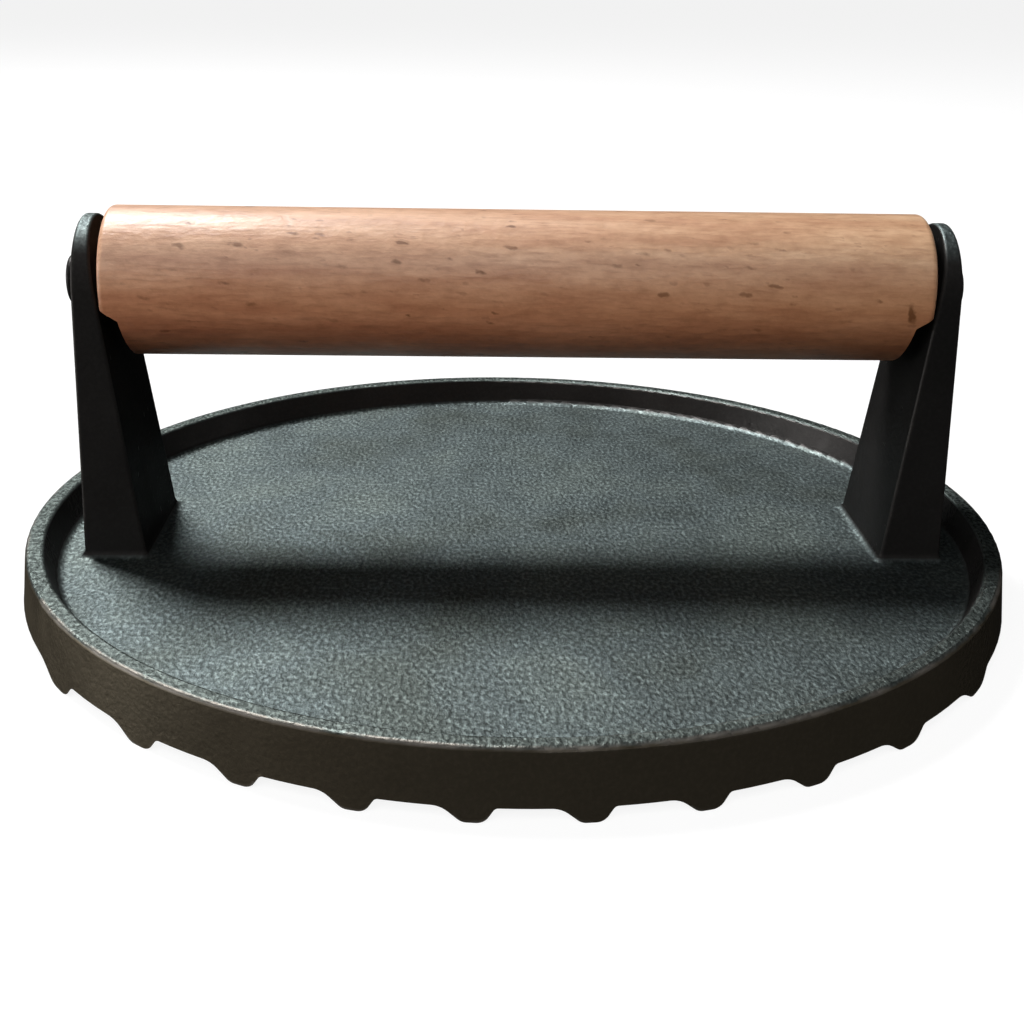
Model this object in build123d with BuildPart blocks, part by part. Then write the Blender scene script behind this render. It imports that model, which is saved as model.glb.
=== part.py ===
from build123d import *
import os
from math import cos, radians, sin, tan

# A round cast iron burger press with a wooden grip between two posts.
# The ribs rest on the table at Z = 0, the disc's centre is at X = Y = 0,
# and the grip lies along X. Lengths are millimetres, angles degrees.

# Disc and its rim
rim_radius = 105.0
rim_height = 12.9
rim_land = 3.6
rim_edge_radius = 0.9
outer_draft = 7.2
inner_draft = 19.5
disc_thickness = 3.8
floor_corner_radius = 2.0

# Ribs under the disc, with a gentle flank on the left and a steep one on the right
rib_count = 10
rib_pitch = 19.1
rib_height = 2.6
rib_crest_width = 3.6
gentle_flank_angle = 38.0
steep_flank_angle = 56.0
rib_crest_radius = 2.4
gentle_root_radius = 4.5
steep_root_radius = 1.0

# Wooden grip, cut back under its ends to clear the leaning posts
grip_radius = 15.5
grip_edge_radius = 1.3
relief_gap = 3.7
relief_drop = 5.5
relief_rise = 2.4
relief_root_radius = 0.6
lobe_edge_radius = 2.5

# Posts; the rim places them, and they set the grip's length between them
axis_height = 63.2
post_rim_gap = 6.5
post_thickness = 4.8
end_gap = 0.9
post_inner_draft = 6.8
post_outer_draft = 1.7
post_side_draft = 2.7
top_below_grip = 1.75
post_edge_radius = 0.7
post_foot_radius = 2.0

# Rod with a riveted head at each end
rod_radius = 3.0
rod_post_clearance = 0.05
rod_grip_clearance = 0.08
head_radius = 5.3
head_rim = 3.3
head_dome = 0.8
head_edge_radius = 0.9
seat_margin = 0.5
seat_depth = 0.3

# Heights and places that follow from the sizes above
floor_height = rib_height + disc_thickness
slab_top = rib_height + disc_thickness / 2
gentle_foot_x = -rib_crest_width / 2 - rib_height / tan(radians(gentle_flank_angle))
steep_foot_x = rib_crest_width / 2 + rib_height / tan(radians(steep_flank_angle))
rim_inner_radius = rim_radius - rim_land
floor_radius = rim_inner_radius - (rim_height - floor_height) * tan(radians(inner_draft))
relief_top = axis_height - relief_drop
post_top_radius = grip_radius - top_below_grip
post_foot_lean = (axis_height - floor_height) * tan(radians(post_outer_draft))
post_outer_x = floor_radius - post_rim_gap - post_foot_lean
post_inner_x = post_outer_x - post_thickness
grip_length = 2 * (post_inner_x - end_gap)
above_posts = axis_height + post_top_radius + post_edge_radius
seat_x = post_outer_x - seat_depth
shoulder_x = seat_x + head_rim
dome_radius = (head_radius**2 + head_dome**2) / (2 * head_dome)
reach = 2 * rim_radius
height_band = 0.01
grip_axis = Plane(origin=(0, 0, axis_height), x_dir=(0, 1, 0), z_dir=(1, 0, 0))
grip_front = Plane(origin=(0, 0, axis_height), x_dir=(1, 0, 0), z_dir=(0, -1, 0))


def outer_wall_radius(height):
    return rim_radius + (rim_height - height) * tan(radians(outer_draft))


def inner_face_x(height):
    return post_inner_x - (axis_height - height) * tan(radians(post_inner_draft))


def outer_face_x(height):
    return post_outer_x + (axis_height - height) * tan(radians(post_outer_draft))


def post_half_depth(height):
    lean = radians(post_side_draft)
    return (post_top_radius + (axis_height - height) * sin(lean)) / cos(lean)


# Post: its side outline with a round top, cut to the wedge seen from the front
with BuildPart() as post:
    with BuildSketch(Plane.YZ.offset(inner_face_x(0))):
        with BuildLine():
            top = CenterArc(
                (0, axis_height), post_top_radius, post_side_draft, 180 - 2 * post_side_draft
            )
            foot = post_half_depth(slab_top)
            Polyline(top @ 1, (-foot, slab_top), (foot, slab_top), top @ 0)
        make_face()
    extrude(amount=outer_face_x(0) - inner_face_x(0))
    with BuildSketch(Plane.XZ):
        with BuildLine():
            Polyline(
                (inner_face_x(slab_top), slab_top),
                (outer_face_x(slab_top), slab_top),
                (outer_face_x(above_posts), above_posts),
                (inner_face_x(above_posts), above_posts),
                close=True,
            )
        make_face()
    extrude(amount=reach, both=True, mode=Mode.INTERSECT)
    raised = post.edges().filter_by(lambda edge: edge.center().Z > floor_height)
    fillet(raised.filter_by(Axis.X, reverse=True), post_edge_radius)

# Press casting: ribs, dish and both posts are one piece of iron
with BuildPart() as press_casting:
    with BuildSketch(Plane.XZ) as underside:
        with Locations((0, (rib_height + slab_top) / 2)):
            Rectangle(2 * reach, slab_top - rib_height)
        with GridLocations(rib_pitch, 0, rib_count, 1):
            Polygon(
                (-rib_crest_width / 2, 0),
                (rib_crest_width / 2, 0),
                (steep_foot_x, rib_height),
                (gentle_foot_x, rib_height),
                align=None,
            )
        for side, radius in enumerate((gentle_root_radius, steep_root_radius)):
            roots = underside.vertices().filter_by_position(
                Axis.Y, rib_height - height_band, rib_height + height_band
            )
            fillet(roots.sort_by(Axis.X)[1:-1][side::2], radius)
        fillet(underside.vertices().group_by(Axis.Y)[0], rib_crest_radius)
    extrude(amount=reach, both=True)
    with BuildSketch(Plane.XZ):
        with BuildLine():
            Polyline(
                (0, 0),
                (outer_wall_radius(0), 0),
                (outer_wall_radius(slab_top), slab_top),
                (0, slab_top),
                close=True,
            )
        make_face()
    revolve(axis=Axis.Z, mode=Mode.INTERSECT)
    with BuildSketch(Plane.XZ) as dish:
        with BuildLine():
            Polyline(
                (0, rib_height),
                (outer_wall_radius(rib_height), rib_height),
                (rim_radius, rim_height),
                (rim_inner_radius, rim_height),
                (floor_radius, floor_height),
                (0, floor_height),
                close=True,
            )
        make_face()
        fillet(dish.vertices().group_by(Axis.Y)[1].sort_by(Axis.X)[-1], floor_corner_radius)
        fillet(dish.vertices().group_by(Axis.Y)[-1], rim_edge_radius)
    revolve(axis=Axis.Z)
    add(post.part)
    mirror(post.part, about=Plane.YZ)
    feet = press_casting.edges().filter_by_position(
        Axis.Z, floor_height - height_band, floor_height + height_band
    )
    fillet(feet.filter_by(lambda edge: edge.length < rim_radius), post_foot_radius)
    for side in (1, -1):
        with BuildSketch(Plane(origin=(side * seat_x, 0, axis_height), z_dir=(side, 0, 0))):
            Circle(head_radius + seat_margin)
        extrude(amount=post_thickness, mode=Mode.SUBTRACT)
    with BuildSketch(grip_axis):
        Circle(rod_radius + rod_post_clearance)
    extrude(amount=reach, both=True, mode=Mode.SUBTRACT)
press_casting.part.label = "press_casting"

# Wooden grip: a bored dowel with rounded ends, cut back below at both ends
with BuildPart() as wooden_grip:
    with BuildSketch(grip_axis):
        Circle(grip_radius)
    extrude(amount=grip_length / 2, both=True)
    fillet(wooden_grip.edges().filter_by(GeomType.CIRCLE), grip_edge_radius)
    with BuildSketch(Plane.XZ) as grip_outline:
        with BuildLine():
            Polyline(
                (0, reach),
                (grip_length / 2, reach),
                (grip_length / 2, relief_top + relief_rise),
                (inner_face_x(relief_top) - relief_gap, relief_top),
                (inner_face_x(slab_top) - relief_gap, slab_top),
                (0, slab_top),
                close=True,
            )
        make_face()
        root, lobe = grip_outline.vertices().sort_by(lambda corner: abs(corner.Y - relief_top))[:2]
        fillet(root, relief_root_radius)
        fillet(lobe, lobe_edge_radius)
        mirror(about=Plane.YZ)
    extrude(amount=reach, both=True, mode=Mode.INTERSECT)
    with BuildSketch(grip_axis):
        Circle(rod_radius + rod_grip_clearance)
    extrude(amount=reach, both=True, mode=Mode.SUBTRACT)
wooden_grip.part.label = "wooden_grip"

# Rod: one steel rivet through both posts and the grip
with BuildPart() as handle_rod:
    with BuildSketch(grip_front) as half_rod:
        with BuildLine():
            Polyline(
                (shoulder_x + head_dome, 0),
                (0, 0),
                (0, rod_radius),
                (seat_x, rod_radius),
                (seat_x, head_radius),
                (shoulder_x, head_radius),
            )
            RadiusArc((shoulder_x, head_radius), (shoulder_x + head_dome, 0), dome_radius)
        make_face()
        fillet(half_rod.vertices().group_by(Axis.Y)[-1].sort_by(Axis.X)[-1], head_edge_radius)
    revolve(axis=Axis(grip_front.origin, grip_front.x_dir))
    mirror(about=Plane.YZ)
handle_rod.part.label = "handle_rod"

os.makedirs("parts", exist_ok=True)
for piece in (press_casting, wooden_grip, handle_rod):
    export_step(piece.part, "parts/" + piece.part.label + ".step")
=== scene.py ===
import math

import bmesh
import bpy
from mathutils import Matrix

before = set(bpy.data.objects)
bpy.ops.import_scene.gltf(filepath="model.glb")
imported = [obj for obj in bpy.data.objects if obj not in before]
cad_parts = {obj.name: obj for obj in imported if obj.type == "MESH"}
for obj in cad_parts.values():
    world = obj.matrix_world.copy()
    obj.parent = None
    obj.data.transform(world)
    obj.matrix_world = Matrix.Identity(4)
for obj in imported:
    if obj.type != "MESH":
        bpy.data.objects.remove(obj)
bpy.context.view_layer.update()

# Press casting
# The dish, its ribs and both posts are one sand casting in grey iron, baked black with oil.
# The dish's floor keeps the sand's coarse grain, the outer wall and the posts come out finer,
# and handling has rubbed the seasoning off the rim and the posts' corners.
rim_corner_radius = 0.1041
rim_corner_height = 0.0121
land_inner_radius = 0.0975
land_height = 0.0124
above_rim = 0.0135
floor_fillet_start = 0.00656
floor_fillet_end = 0.0073
hollow_height = 0.0052
hollow_reach = 0.0038
corner_fade = 0.0005
top_fade = 0.0004
wall_fade = 0.0008
corner_wear = 0.0009
grain_relief = 0.0002
lump_relief = 0.0005
pit_relief = 0.0003
struck_stretch = 1.6
# Pattern sizes, in millimetres
sand_size = 0.8
granule_size = 1.0
pit_spacing = 6.0
lump_size = 8.0
patch_size = 38.0


def linear(hex_colour):
    """An sRGB hex colour in linear light, with full alpha."""
    channels = [int(hex_colour[i:i + 2], 16) / 255 for i in (1, 3, 5)]
    return [c / 12.92 if c <= 0.04045 else ((c + 0.055) / 1.055) ** 2.4 for c in channels] + [1]


def per_mm(size):
    """A pattern's scale from its real size in millimetres."""
    return 1000 / size


def add_node(tree, kind, settings=None, links=None):
    """A node with its settings and links. A number stands for a socket whose name repeats: a Mix
    node's two colours are 6 and 7, its two numbers 2 and 3, and its share of the second is 0."""
    node = tree.nodes.new(kind)
    for name, value in (settings or {}).items():
        if name == "stops":
            for place, colour in value[1:-1]:
                node.color_ramp.elements.new(place)
            for element, (place, colour) in zip(node.color_ramp.elements, value):
                element.position = place
                element.color = colour
        elif isinstance(name, int) or name in node.inputs:
            node.inputs[name].default_value = value
        else:
            setattr(node, name, value)
    for name, source in (links or {}).items():
        tree.links.new(source, node.inputs[name])
    return node


def blank_finish(name):
    """A material with no nodes yet, named for the real finish."""
    finish = bpy.data.materials.new(name)
    finish.use_nodes = True
    finish.node_tree.nodes.clear()
    return finish


def coat(piece, finish):
    """Gives a piece of the frame its finish."""
    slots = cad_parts[piece].data.materials
    slots.clear()
    slots.append(finish)


# Seasoned cast iron: baked oil over a sand-cast skin. Faces cast upwards keep the sand's grain;
# their slate colour is painted sheen, the light that grazes them. Upright faces drew smooth from
# the mould; they are painted near black, partly painted shade, and brown outside. The rim's outer
# corner is rubbed to bare grey.
iron = blank_finish("seasoned_sand_cast_iron")
tree = iron.node_tree
coordinates = add_node(tree, "ShaderNodeTexCoord")
place = coordinates.outputs["Object"]

# Sand grain of about a millimetre, a little longer front to back where the sand was struck off,
# the lumps of the rammed mould, broad patches of oil, and a few gas pits. Foundry sand is finer,
# and is drawn as coarse as it needs to show.
struck = add_node(
    tree, "ShaderNodeMapping", {"vector_type": "TEXTURE", "Scale": (1, struck_stretch, 1)},
    {"Vector": place},
).outputs["Vector"]
grain = add_node(
    tree, "ShaderNodeTexNoise", {"Scale": per_mm(sand_size), "Detail": 3.0, "Roughness": 0.6},
    {"Vector": struck},
).outputs["Fac"]
granules = add_node(
    tree, "ShaderNodeTexVoronoi",
    {"feature": "SMOOTH_F1", "Scale": per_mm(granule_size), "Smoothness": 0.35},
    {"Vector": struck},
).outputs["Distance"]
lumps = add_node(
    tree, "ShaderNodeTexNoise", {"Scale": per_mm(lump_size), "Detail": 3.0}, {"Vector": place}
).outputs["Fac"]
patches = add_node(
    tree, "ShaderNodeTexNoise", {"Scale": per_mm(patch_size), "Detail": 3.0, "Roughness": 0.55},
    {"Vector": place},
).outputs["Fac"]
pits = add_node(
    tree, "ShaderNodeTexVoronoi", {"Scale": per_mm(pit_spacing), "Randomness": 1.0},
    {"Vector": place},
).outputs["Distance"]

# The grain is full on faces that were cast upwards and fades on the upright ones. The dish's
# fillets fade by height, the round tops of the posts by the way that they face.
facing = add_node(
    tree, "ShaderNodeSeparateXYZ", {}, {"Vector": coordinates.outputs["Normal"]}
).outputs["Z"]
flat = add_node(
    tree, "ShaderNodeVectorMath", {"operation": "MULTIPLY", 1: (1, 1, 0)}, {0: place}
).outputs["Vector"]
radius = add_node(
    tree, "ShaderNodeVectorMath", {"operation": "LENGTH"}, {0: flat}
).outputs["Value"]
height = add_node(tree, "ShaderNodeSeparateXYZ", {}, {"Vector": place}).outputs["Z"]
floor_face = add_node(
    tree, "ShaderNodeMath", {"operation": "MULTIPLY"},
    {0: add_node(
        tree, "ShaderNodeMapRange", {"From Min": 0.2, "From Max": 0.35}, {"Value": facing}
    ).outputs["Result"], 1: add_node(
        tree, "ShaderNodeMapRange", {"From Min": floor_fillet_end, "From Max": floor_fillet_start},
        {"Value": height},
    ).outputs["Result"]},
).outputs["Value"]
land = add_node(
    tree, "ShaderNodeMath", {"operation": "MULTIPLY"},
    {0: add_node(
        tree, "ShaderNodeMapRange",
        {"From Min": land_inner_radius, "From Max": land_inner_radius + corner_fade},
        {"Value": radius},
    ).outputs["Result"], 1: add_node(
        tree, "ShaderNodeMapRange", {"From Min": land_height, "From Max": land_height + top_fade},
        {"Value": height},
    ).outputs["Result"]},
).outputs["Value"]
post_top = add_node(
    tree, "ShaderNodeMath", {"operation": "MULTIPLY"},
    {0: add_node(
        tree, "ShaderNodeMapRange", {"From Min": 0.55, "From Max": 0.92}, {"Value": facing}
    ).outputs["Result"], 1: add_node(
        tree, "ShaderNodeMath", {"operation": "GREATER_THAN", 1: above_rim}, {0: height}
    ).outputs["Value"]},
).outputs["Value"]
# The same mask lays the painted sheen on faces that look up
upward = floor_face
for face in (land, post_top):
    upward = add_node(
        tree, "ShaderNodeMath", {"operation": "MAXIMUM"}, {0: upward, 1: face}
    ).outputs["Value"]
grain_tint = add_node(
    tree, "ShaderNodeMapRange", {"To Min": 0.12, "To Max": 1.0}, {"Value": upward}
).outputs["Result"]
level = add_node(
    tree, "ShaderNodeMapRange", {"From Min": 0.7, "From Max": 1.0}, {"Value": upward}
).outputs["Result"]
grain_depth = add_node(
    tree, "ShaderNodeMapRange", {"To Min": 0.3, "To Max": 1.0}, {"Value": level}
).outputs["Result"]
lump_depth = add_node(
    tree, "ShaderNodeMapRange", {"To Min": 0.12, "To Max": 0.5}, {"Value": level}
).outputs["Result"]

# Rubbed corners: where the rounded normal leaves the flat one, but not in the hollow where walls,
# posts and ribs meet the plate, and round the rim's outer corner
rounded = add_node(
    tree, "ShaderNodeBevel", {"samples": 6, "Radius": corner_wear}
).outputs["Normal"]
turn = add_node(
    tree, "ShaderNodeVectorMath", {"operation": "DOT_PRODUCT"},
    {0: rounded, 1: add_node(tree, "ShaderNodeNewGeometry").outputs["Normal"]},
).outputs["Value"]
hollow = add_node(
    tree, "ShaderNodeMath", {"operation": "COMPARE", 1: hollow_height, 2: hollow_reach},
    {0: height},
).outputs["Value"]
corner = add_node(
    tree, "ShaderNodeMath", {"operation": "SUBTRACT", "use_clamp": True},
    {0: add_node(
        tree, "ShaderNodeMapRange", {"From Min": 0.985, "From Max": 0.86}, {"Value": turn}
    ).outputs["Result"], 1: hollow},
).outputs["Value"]
rim_side = add_node(
    tree, "ShaderNodeMapRange",
    {"From Min": rim_corner_radius, "From Max": rim_corner_radius + corner_fade},
    {"Value": radius},
).outputs["Result"]
rim_corner = add_node(
    tree, "ShaderNodeMapRange",
    {"From Min": rim_corner_height, "From Max": rim_corner_height + top_fade}, {"Value": height},
).outputs["Result"]
rim_rub = add_node(
    tree, "ShaderNodeMath", {"operation": "MULTIPLY"}, {0: rim_side, 1: rim_corner}
).outputs["Value"]
rub = add_node(
    tree, "ShaderNodeMath", {"operation": "MAXIMUM"}, {0: corner, 1: rim_rub}
).outputs["Value"]
rub_break = add_node(
    tree, "ShaderNodeMapRange", {"From Min": 0.4, "From Max": 0.62}, {"Value": lumps}
).outputs["Result"]
worn = add_node(
    tree, "ShaderNodeMath", {"operation": "MULTIPLY"}, {0: rub, 1: rub_break}
).outputs["Value"]

# Colour: slate on the floor is painted sheen and the black of upright faces partly painted shade;
# brown outside, grey where it is rubbed
painted_sheen_slate = add_node(
    tree, "ShaderNodeValToRGB",
    {"stops": [(0.35, linear("#5d6562")), (0.5, linear("#667070")), (0.68, linear("#717b78"))]},
    {"Fac": patches},
).outputs["Color"]
black_oil_and_painted_shade = add_node(
    tree, "ShaderNodeValToRGB",
    {"stops": [(0.3, linear("#302f2e")), (0.7, linear("#3d3b3a"))]}, {"Fac": patches},
).outputs["Color"]
outside = add_node(
    tree, "ShaderNodeMapRange",
    {"From Min": rim_corner_radius, "From Max": rim_corner_radius + wall_fade}, {"Value": radius},
).outputs["Result"]
upright = add_node(
    tree, "ShaderNodeMix", {"data_type": "RGBA", 7: linear("#5a5346")}, {0: outside, 6: black_oil_and_painted_shade}
).outputs[2]
# The land takes a flat slate, painted sheen like the floor's
painted_sheen_land = add_node(
    tree, "ShaderNodeMix", {"data_type": "RGBA", 7: linear("#646c69")}, {0: land, 6: painted_sheen_slate}
).outputs[2]
# Faces that look up take the painted sheen, upright faces the near black with its painted shade
sheen_and_shade_skin = add_node(
    tree, "ShaderNodeMix", {"data_type": "RGBA"}, {0: upward, 6: upright, 7: painted_sheen_land}
).outputs[2]
# Sand grain as darker and lighter grains; the brightest are partly painted glints where light
# catches them
grain_and_painted_glints = add_node(
    tree, "ShaderNodeValToRGB",
    {"stops": [(0.4, (0.6, 0.6, 0.6, 1)), (0.52, (1, 1, 1, 1)), (0.65, (1.75, 1.75, 1.75, 1))]},
    {"Fac": grain},
).outputs["Color"]
grained = add_node(
    tree, "ShaderNodeMix", {"data_type": "RGBA", "blend_type": "MULTIPLY"},
    {0: grain_tint, 6: sheen_and_shade_skin, 7: grain_and_painted_glints},
).outputs[2]
colour = add_node(
    tree, "ShaderNodeMix", {"data_type": "RGBA", 7: linear("#827d76")}, {0: worn, 6: grained}
).outputs[2]

# Roughness and the share of bare metal
sandy = add_node(
    tree, "ShaderNodeMapRange", {"From Min": 0.3, "From Max": 0.7, "To Min": 0.5, "To Max": 0.62},
    {"Value": lumps},
).outputs["Result"]
smoother = add_node(
    tree, "ShaderNodeMapRange", {"To Min": -0.14, "To Max": 0.0}, {"Value": upward}
).outputs["Result"]
oiled = add_node(
    tree, "ShaderNodeMath", {"operation": "ADD"}, {0: sandy, 1: smoother}
).outputs["Value"]
wiped = add_node(
    tree, "ShaderNodeMath", {"operation": "MULTIPLY_ADD", 1: -0.06}, {0: land, 2: oiled}
).outputs["Value"]
roughness = add_node(
    tree, "ShaderNodeMix", {"data_type": "FLOAT", 3: 0.52}, {0: worn, 2: wiped}
).outputs[0]
bare = add_node(
    tree, "ShaderNodeMapRange", {"To Min": 0.75, "To Max": 0.94}, {"Value": upward}
).outputs["Result"]

# Oil dulls the sheen at a low angle on the upright faces and on the wiped land
grazing = add_node(
    tree, "ShaderNodeMix", {"data_type": "RGBA", 6: (0.2, 0.2, 0.2, 1), 7: (1, 1, 1, 1)},
    {0: upward},
).outputs[2]
dulled = add_node(
    tree, "ShaderNodeMix", {"data_type": "RGBA", 7: (0.15, 0.15, 0.15, 1)}, {0: land, 6: grazing}
).outputs[2]

# Relief: the sand's grain, the mould's lumps and the gas pits
sand = add_node(
    tree, "ShaderNodeMath", {"operation": "MULTIPLY_ADD", 1: -0.45}, {0: granules, 2: grain}
).outputs["Value"]
grain_bump = add_node(
    tree, "ShaderNodeBump", {"Distance": grain_relief}, {"Height": sand, "Strength": grain_depth}
).outputs["Normal"]
lump_bump = add_node(
    tree, "ShaderNodeBump", {"Distance": lump_relief},
    {"Height": lumps, "Strength": lump_depth, "Normal": grain_bump},
).outputs["Normal"]
pit_depth = add_node(
    tree, "ShaderNodeMapRange", {"From Min": 0.05, "From Max": 0.11}, {"Value": pits}
).outputs["Result"]
pit_bump = add_node(
    tree, "ShaderNodeBump", {"Strength": 0.2, "Distance": pit_relief},
    {"Height": pit_depth, "Normal": lump_bump},
).outputs["Normal"]
shader = add_node(
    tree, "ShaderNodeBsdfPrincipled", {},
    {"Base Color": colour, "Roughness": roughness, "Metallic": bare, "Specular Tint": dulled,
     "Normal": pit_bump},
)
add_node(tree, "ShaderNodeOutputMaterial", {}, {"Surface": shader.outputs["BSDF"]})
coat("press_casting", iron)

# Wooden grip
# A beech dowel turned to size, bored end to end and varnished, its ends cut back underneath so
# that they clear the leaning posts. The rod holds it between them.
grip_half_length = 0.0852
ragged_reach = (0.0022, 0.0009, 0.0009)
mark_place = (0.0814, -0.0153, 0.0614)
mark_size = (0.0007, 0.004, 0.0021)
fibre_relief = 0.00012
mottle_relief = 0.0005
streak_stretch = 6
mottle_stretch = 1.5
# Pattern sizes, in millimetres
fibre_size = 0.8
ragged_size = 1.6
mottle_size = 2.4
streak_size = 4.0
cloud_size = 24.0

# Varnished steamed beech: pinkish tan with short dark ray flecks. Its colour is painted lighter
# towards the left-hand end, painted light, and darker and a little yellower towards the right-hand
# end; it is painted paler on top, a painted highlight, and darker and redder underneath, painted
# warm shade. The varnish gives it a soft gloss on top.
beech = blank_finish("varnished_steamed_beech")
tree = beech.node_tree
coordinates = add_node(tree, "ShaderNodeTexCoord")
place = coordinates.outputs["Object"]

facing = add_node(
    tree, "ShaderNodeSeparateXYZ", {}, {"Vector": coordinates.outputs["Normal"]}
).outputs["Z"]

# Growth lines that run along the dowel, fibres, and mottling a few millimetres across. Beech
# fibres are a tenth of a millimetre thick, and are drawn as coarse as they need to show.
along = add_node(
    tree, "ShaderNodeMapping", {"vector_type": "TEXTURE", "Rotation": (0, math.radians(1.5), 0),
                                "Scale": (streak_stretch, 1, 1)},
    {"Vector": place},
).outputs["Vector"]
streaks = add_node(
    tree, "ShaderNodeTexNoise", {"Scale": per_mm(streak_size), "Detail": 5.0, "Roughness": 0.62},
    {"Vector": along},
).outputs["Fac"]
fibres = add_node(
    tree, "ShaderNodeTexNoise", {"Scale": per_mm(fibre_size), "Detail": 2.0}, {"Vector": along}
).outputs["Fac"]
mottle = add_node(
    tree, "ShaderNodeTexNoise", {"Scale": per_mm(mottle_size), "Detail": 4.0, "Roughness": 0.65},
    {"Vector": add_node(
        tree, "ShaderNodeMapping", {"vector_type": "TEXTURE", "Scale": (mottle_stretch, 1, 1)},
        {"Vector": place},
    ).outputs["Vector"]},
).outputs["Fac"]
clouds = add_node(
    tree, "ShaderNodeTexNoise", {"Scale": per_mm(cloud_size), "Detail": 2.0}, {"Vector": place}
).outputs["Fac"]

# Ray flecks a millimetre or two long, cut at a slant, with edges that the fibres make ragged
ragged = add_node(
    tree, "ShaderNodeTexNoise", {"Scale": per_mm(ragged_size), "Detail": 2.0}, {"Vector": place}
).outputs["Color"]
nudge = add_node(
    tree, "ShaderNodeVectorMath", {"operation": "MULTIPLY_ADD", 1: ragged_reach},
    {0: ragged, 2: place},
).outputs["Vector"]


def spots(tree, vector, slant, stretch, cell, sparse, size, soft):
    """Ragged spots: a share of the cells holds one, each of its own size and darkness."""
    slanted = add_node(
        tree, "ShaderNodeMapping",
        {"vector_type": "TEXTURE", "Rotation": (0, math.radians(slant), 0),
         "Scale": (stretch, 1, 1)},
        {"Vector": vector},
    ).outputs["Vector"]
    cells = add_node(tree, "ShaderNodeTexVoronoi", {"Scale": per_mm(cell)}, {"Vector": slanted})
    pick = add_node(tree, "ShaderNodeSeparateColor", {}, {"Color": cells.outputs["Color"]})
    reach = add_node(
        tree, "ShaderNodeMapRange", {"From Min": sparse, "To Min": 0.0, "To Max": size},
        {"Value": pick.outputs["Red"]},
    ).outputs["Result"]
    inside = add_node(
        tree, "ShaderNodeMath", {"operation": "SUBTRACT"}, {0: reach, 1: cells.outputs["Distance"]}
    ).outputs["Value"]
    spot = add_node(
        tree, "ShaderNodeMapRange", {"From Min": 0.0, "From Max": soft}, {"Value": inside}
    ).outputs["Result"]
    dark = add_node(
        tree, "ShaderNodeMapRange", {"To Min": 0.35, "To Max": 1.0},
        {"Value": pick.outputs["Green"]},
    ).outputs["Result"]
    return add_node(
        tree, "ShaderNodeMath", {"operation": "MULTIPLY"}, {0: spot, 1: dark}
    ).outputs["Value"]


flecks = spots(tree, nudge, slant=12, stretch=3.0, cell=1.8, sparse=0.5, size=0.36, soft=0.16)
pale_flecks = spots(
    tree, nudge, slant=16, stretch=2.4, cell=1.3, sparse=0.45, size=0.36, soft=0.2
)
bruises = spots(tree, nudge, slant=20, stretch=1.4, cell=8.0, sparse=0.6, size=0.3, soft=0.3)

# A dark growth mark near the right-hand end
mark = add_node(
    tree, "ShaderNodeMapRange", {"From Min": 1.2, "From Max": 0.6, "To Max": 0.8},
    {"Value": add_node(
        tree, "ShaderNodeVectorMath", {"operation": "LENGTH"},
        {0: add_node(
            tree, "ShaderNodeMapping",
            {"vector_type": "TEXTURE", "Location": mark_place,
             "Rotation": (0, math.radians(-6), 0), "Scale": mark_size},
            {"Vector": nudge},
        ).outputs["Vector"]},
    ).outputs["Value"]},
).outputs["Result"]

# Colour. The top is painted paler, a painted highlight, and the underside darker and redder,
# painted warm shade.
tone = add_node(
    tree, "ShaderNodeValToRGB",
    {"stops": [(0.3, linear("#aa785b")), (0.5, linear("#b88869")), (0.7, linear("#c49677"))]},
    {"Fac": streaks},
).outputs["Color"]
end_to_end = add_node(
    tree, "ShaderNodeMapRange", {"From Min": -grip_half_length, "From Max": grip_half_length},
    {"Value": add_node(tree, "ShaderNodeSeparateXYZ", {}, {"Vector": place}).outputs["X"]},
).outputs["Result"]
# Painted light: lighter towards the left-hand end, darker and a little yellower towards the right
tone_and_painted_light_drift = add_node(
    tree, "ShaderNodeValToRGB",
    {"stops": [(0.0, (1.06, 1.05, 1.06, 1)), (0.5, (1, 1, 1, 1)), (1.0, (0.91, 0.95, 0.91, 1))]},
    {"Fac": end_to_end},
).outputs["Color"]
# Painted highlight on top and painted warm shade underneath, set by the way the surface faces
painted_highlight_and_shade = add_node(
    tree, "ShaderNodeValToRGB",
    {"stops": [(0.1, (1.05, 0.76, 0.66, 1)), (0.27, (0.98, 0.74, 0.62, 1)),
               (0.42, (1.02, 0.87, 0.76, 1)), (0.55, (1.0, 0.93, 0.87, 1)),
               (0.67, (1.09, 1.11, 1.12, 1)), (0.8, (1.12, 1.24, 1.3, 1))]},
    {"Fac": add_node(
        tree, "ShaderNodeMapRange", {"From Min": -1.0, "From Max": 1.0}, {"Value": facing}
    ).outputs["Result"]},
).outputs["Color"]
mottling = add_node(
    tree, "ShaderNodeValToRGB",
    {"stops": [(0.3, (0.86, 0.84, 0.82, 1)), (0.5, (1, 1, 1, 1)), (0.7, (1.1, 1.12, 1.14, 1))]},
    {"Fac": mottle},
).outputs["Color"]
tone_with_painted_light = tone
for tint in (tone_and_painted_light_drift, painted_highlight_and_shade, mottling):
    tone_with_painted_light = add_node(
        tree, "ShaderNodeMix", {"data_type": "RGBA", "blend_type": "MULTIPLY", 0: 1.0},
        {6: tone_with_painted_light, 7: tint},
    ).outputs[2]
fibred = add_node(
    tree, "ShaderNodeMix", {"data_type": "RGBA", 7: linear("#8a5a3e")},
    {0: add_node(
        tree, "ShaderNodeMapRange", {"From Min": 0.5, "From Max": 0.8, "To Max": 0.45},
        {"Value": fibres},
    ).outputs["Result"], 6: tone_with_painted_light},
).outputs[2]
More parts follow.
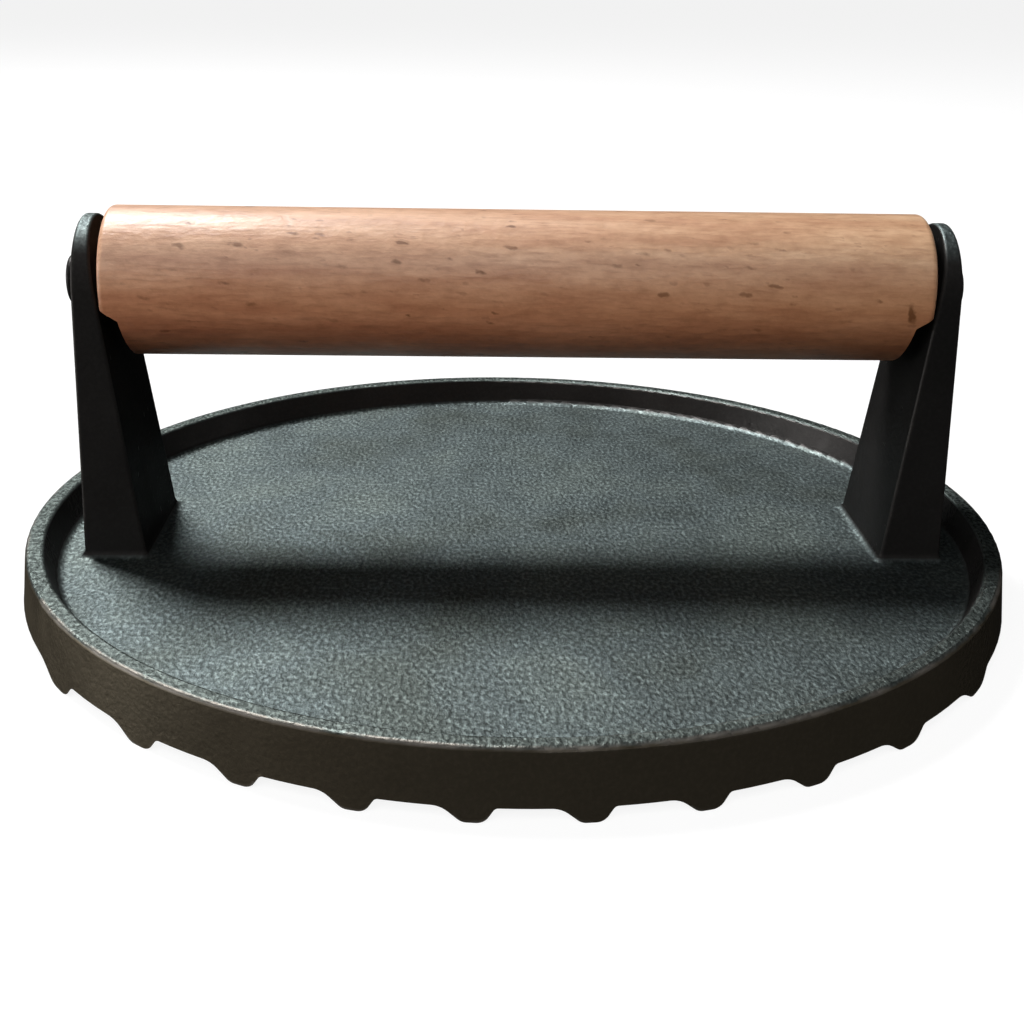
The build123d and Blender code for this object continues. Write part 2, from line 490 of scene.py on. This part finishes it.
bruised = add_node(
    tree, "ShaderNodeMix", {"data_type": "RGBA", 7: linear("#6d452f")},
    {0: add_node(
        tree, "ShaderNodeMath", {"operation": "MULTIPLY", 1: 0.4},
        {0: add_node(
            tree, "ShaderNodeMath", {"operation": "MAXIMUM"}, {0: bruises, 1: pale_flecks}
        ).outputs["Value"]},
    ).outputs["Value"], 6: fibred},
).outputs[2]
darkest = add_node(
    tree, "ShaderNodeMath", {"operation": "MAXIMUM"},
    {0: add_node(
        tree, "ShaderNodeMath", {"operation": "MULTIPLY", 1: 0.75}, {0: flecks}
    ).outputs["Value"], 1: mark},
).outputs["Value"]
flecked = add_node(
    tree, "ShaderNodeMix", {"data_type": "RGBA", 7: linear("#5e3518")},
    {0: darkest, 6: bruised},
).outputs[2]

# Varnish: thin and brushed, so that it follows the raised fibres. The palm keeps it bright on top,
# and underneath it is thin and dry.
palm = add_node(
    tree, "ShaderNodeMapRange", {"From Min": -0.3, "From Max": 0.5, "To Min": 0.05, "To Max": 0.6},
    {"Value": facing},
).outputs["Result"]
varnish = add_node(
    tree, "ShaderNodeMapRange", {"From Min": 0.3, "From Max": 0.7, "To Min": 0.4, "To Max": 0.56},
    {"Value": clouds},
).outputs["Result"]
fibre_bump = add_node(
    tree, "ShaderNodeBump", {"Strength": 0.6, "Distance": fibre_relief}, {"Height": fibres}
).outputs["Normal"]
mottle_bump = add_node(
    tree, "ShaderNodeBump", {"Strength": 0.35, "Distance": mottle_relief},
    {"Height": mottle, "Normal": fibre_bump},
).outputs["Normal"]
shader = add_node(
    tree, "ShaderNodeBsdfPrincipled", {"IOR": 1.45, "Coat Roughness": 0.42},
    {"Base Color": flecked, "Roughness": varnish, "Normal": mottle_bump,
     "Coat Weight": palm, "Coat Normal": mottle_bump},
)
add_node(tree, "ShaderNodeOutputMaterial", {}, {"Surface": shader.outputs["BSDF"]})
coat("wooden_grip", beech)

# Rod
# One steel bar through both posts and the grip, its ends hammered cold into round heads that sit
# in the posts' outer faces, and blackened with the casting.
dent_relief = 0.0003
# Pattern sizes, in millimetres
dent_size = 2.6

# Blackened forged steel: the hammer leaves it dull and slightly dented, with greyer high spots
steel = blank_finish("blackened_forged_steel")
tree = steel.node_tree
place = add_node(tree, "ShaderNodeTexCoord").outputs["Object"]
dents = add_node(
    tree, "ShaderNodeTexNoise", {"Scale": per_mm(dent_size), "Detail": 3.0}, {"Vector": place}
).outputs["Fac"]
forge_scale = add_node(
    tree, "ShaderNodeValToRGB",
    {"stops": [(0.35, linear("#1d1b1a")), (0.6, linear("#353332")), (0.75, linear("#5d5955"))]},
    {"Fac": dents},
).outputs["Color"]
dull = add_node(
    tree, "ShaderNodeMapRange", {"From Min": 0.3, "From Max": 0.7, "To Min": 0.55, "To Max": 0.36},
    {"Value": dents},
).outputs["Result"]
dent_bump = add_node(
    tree, "ShaderNodeBump", {"Strength": 0.6, "Distance": dent_relief}, {"Height": dents}
).outputs["Normal"]
shader = add_node(
    tree, "ShaderNodeBsdfPrincipled", {"Metallic": 0.8},
    {"Base Color": forge_scale, "Roughness": dull, "Normal": dent_bump},
)
add_node(tree, "ShaderNodeOutputMaterial", {}, {"Surface": shader.outputs["BSDF"]})
coat("handle_rod", steel)

# Camera
# It looks down on the press from the front at about twenty degrees, a little left of centre.
camera = bpy.data.objects.new("camera", bpy.data.cameras.new("camera"))
camera.location = (-0.010611, -0.292134, 0.125866)
camera.rotation_euler = (math.radians(68.5546), math.radians(-0.9568), math.radians(-1.6003))
camera.data.lens = 48.749
camera.data.sensor_width = 36
camera.data.clip_start = 0.01
bpy.context.scene.collection.objects.link(camera)
bpy.context.scene.camera = camera

# Studio
# A pale table in a pale room, clear from below so that the ribs show there. A window stands to the
# back left, light comes back from the ceiling and the left wall, and the front and the right get
# little. The lamp below reaches nothing but the underside.
half_room = 9.0
table_drop = 0.00005
aim_height = 0.03

shape = bmesh.new()
bmesh.ops.create_cube(
    shape, size=1.0,
    matrix=Matrix.Translation((0, 0, (half_room - table_drop) / 2))
    @ Matrix.Diagonal((2 * half_room, 2 * half_room, half_room + table_drop, 1)),
)
bmesh.ops.reverse_faces(shape, faces=shape.faces)
room_mesh = bpy.data.meshes.new("table")
shape.to_mesh(room_mesh)
shape.free()
room = bpy.data.objects.new("table", room_mesh)
bpy.context.scene.collection.objects.link(room)

# Matt white paper: even, with no shine. It glows a little, so that it stays pale under the soft
# light and still takes the faint shadow under the rim.
paper = blank_finish("matt_white_paper")
tree = paper.node_tree
shader = add_node(
    tree, "ShaderNodeBsdfPrincipled",
    {"Base Color": linear("#707070"), "Roughness": 0.9, "Specular IOR Level": 0.0,
     "Emission Color": linear("#ffffff"), "Emission Strength": 0.88},
)
one_sided = add_node(
    tree, "ShaderNodeMixShader", {},
    {0: add_node(tree, "ShaderNodeNewGeometry").outputs["Backfacing"],
     1: shader.outputs["BSDF"],
     2: add_node(tree, "ShaderNodeBsdfTransparent").outputs["BSDF"]},
)
add_node(tree, "ShaderNodeOutputMaterial", {}, {"Surface": one_sided.outputs["Shader"]})
room_mesh.materials.append(paper)

# The lamps stand for the room's own light, so the paper neither lights the press nor shows in it
room.visible_diffuse = False
room.visible_glossy = False
room.visible_shadow = False

# Lamps: place in degrees and metres round the press, width, power, colour, and whether they glint
for name, azimuth, elevation, distance, size, watts, colour, glints in (
    ("window", 131, 56, 1.6, 0.5, 32.0, "#ffffff", True),
    ("left", 180, 4, 2.0, 1.3, 15.0, "#ffffff", True),
    ("ceiling", 254, 45, 2.0, 1.6, 29.5, "#ffffff", False),
    ("front", 222, 3, 2.0, 1.3, 1.2, "#fff0e0", True),
    ("right", 0, 8, 2.0, 1.3, 1.1, "#ffffff", True),
    ("below", 0, -90, 1.6, 0.6, 10.0, "#ffffff", True),
):
    lamp = bpy.data.lights.new(name, "AREA")
    lamp.shape = "DISK"
    lamp.size = size
    lamp.energy = watts
    lamp.color = linear(colour)[:3]
    holder = bpy.data.objects.new(name, lamp)
    holder.visible_glossy = glints
    turn_angle = math.radians(azimuth)
    rise = math.radians(elevation)
    holder.location = (
        distance * math.cos(rise) * math.cos(turn_angle),
        distance * math.cos(rise) * math.sin(turn_angle),
        distance * math.sin(rise) + aim_height,
    )
    holder.rotation_euler = (math.pi / 2 - rise, 0, turn_angle + math.pi / 2)
    bpy.context.scene.collection.objects.link(holder)

world = bpy.data.worlds.new("dim_surroundings")
world.use_nodes = True
background = world.node_tree.nodes["Background"]
background.inputs["Color"].default_value = linear("#ffffff")
background.inputs["Strength"].default_value = 0.02
bpy.context.scene.world = world
bpy.context.scene.view_settings.view_transform = "Standard"

bpy.context.view_layer.update()
